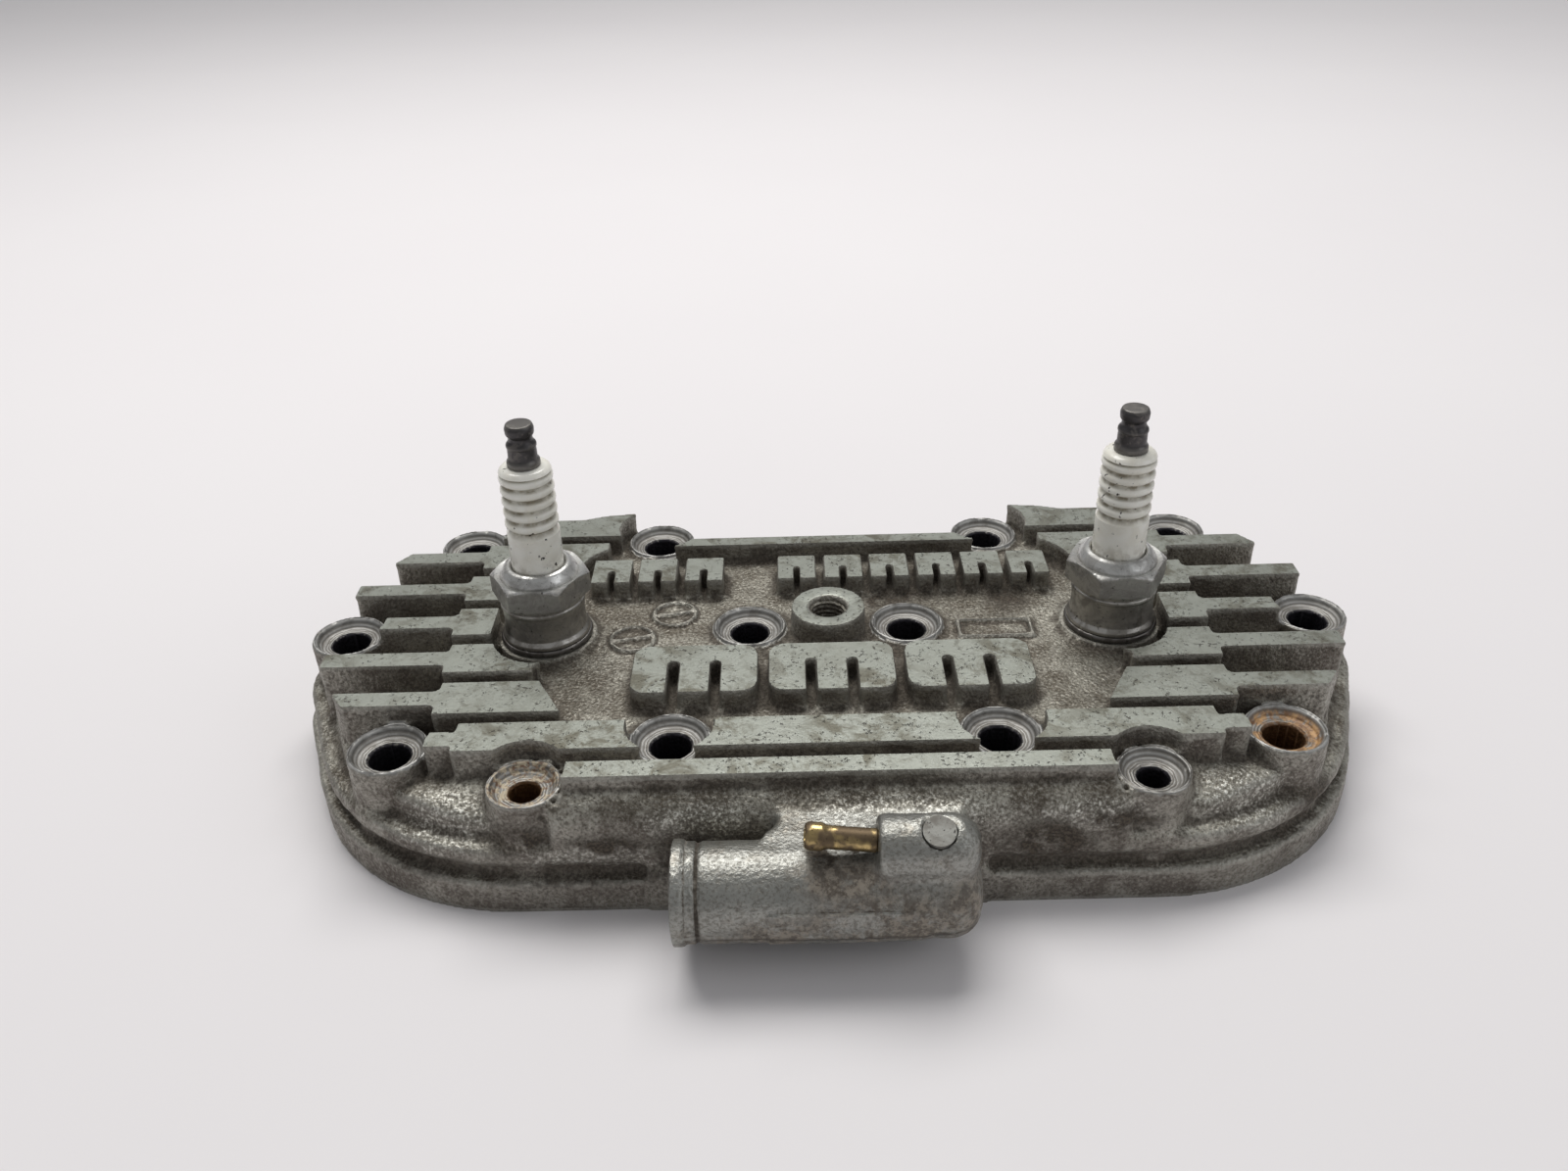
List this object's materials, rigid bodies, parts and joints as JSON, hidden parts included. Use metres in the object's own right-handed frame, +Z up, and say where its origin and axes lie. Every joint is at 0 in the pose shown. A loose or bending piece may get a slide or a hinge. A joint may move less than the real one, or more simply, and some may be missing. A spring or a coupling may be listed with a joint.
{
  "type": "engine cylinder head",
  "caption": "Finned liquid-cooled engine cylinder head with dished bolt bosses, side coolant outlet, brass bleed nipple and screw-in spark plugs",
  "frame": {"origin": "on the gasket face, midway between the two cylinder axes", "axes": "+X along the line of the two cylinders, +Y away from the coolant outlet, +Z up along the spark plugs"},
  "size_m": [0.2598, 0.1453, 0.0829],
  "materials": {
    "cast_aluminium": "rough sand-cast aluminium, stained, with milled tops",
    "brass": "tarnished turned brass",
    "plug_disc_aluminium": "pressed-in disc, satin",
    "plug_steel": "dull plated steel",
    "gasket_steel": "crushed steel washer, dull",
    "insulator_ceramic": "off-white glaze, lightly stained",
    "terminal_black": "blackened metal, worn",
    "stud_steel": "plain steel",
    "resistor_black": "fired carbon and glass compound",
    "electrode_nickel": "nickel alloy with light deposits",
    "sealing_powder": "pressed powder"
  },
  "bodies": {
    "head": {"head_casting": "cast_aluminium", "bleed_nipple": "brass", "passage_plug": "plug_disc_aluminium"},
    "left_gasket": {"left_plug_gasket": "gasket_steel"},
    "left_spark_plug": {"left_plug_shell": "plug_steel", "left_plug_insulator": "insulator_ceramic", "left_plug_terminal_nut": "terminal_black", "left_plug_terminal_stud": "stud_steel", "left_plug_resistor": "resistor_black", "left_plug_centre_electrode": "electrode_nickel", "left_plug_ground_electrode": "electrode_nickel", "left_plug_sealing_powder": "sealing_powder", "left_plug_inner_washer": "gasket_steel"},
    "right_gasket": {"right_plug_gasket": "gasket_steel"},
    "right_spark_plug": {"right_plug_shell": "plug_steel", "right_plug_insulator": "insulator_ceramic", "right_plug_terminal_nut": "terminal_black", "right_plug_terminal_stud": "stud_steel", "right_plug_resistor": "resistor_black", "right_plug_centre_electrode": "electrode_nickel", "right_plug_ground_electrode": "electrode_nickel", "right_plug_sealing_powder": "sealing_powder", "right_plug_inner_washer": "gasket_steel"}
  },
  "joints": [
    {"name": "left_plug_lift", "type": "slide", "parent": "head", "child": "left_gasket", "axis": [0, 0, 1], "range_m": [0, 0.0195]},
    {"name": "left_plug_unscrew", "type": "hinge", "parent": "left_gasket", "child": "left_spark_plug", "pos_m": [-0.069, 0, 0.03], "axis": [0, 0, 1], "range_deg": [0, 5470]},
    {"name": "right_plug_lift", "type": "slide", "parent": "head", "child": "right_gasket", "axis": [0, 0, 1], "range_m": [0, 0.0195]},
    {"name": "right_plug_unscrew", "type": "hinge", "parent": "right_gasket", "child": "right_spark_plug", "pos_m": [0.069, 0, 0.03], "axis": [0, 0, 1], "range_deg": [0, 5470]}
  ],
  "couplings": [
    {"joint": "left_plug_lift", "follows": "left_plug_unscrew", "m_per_rad": 0.00019894},
    {"joint": "right_plug_lift", "follows": "right_plug_unscrew", "m_per_rad": 0.00019894}
  ]
}
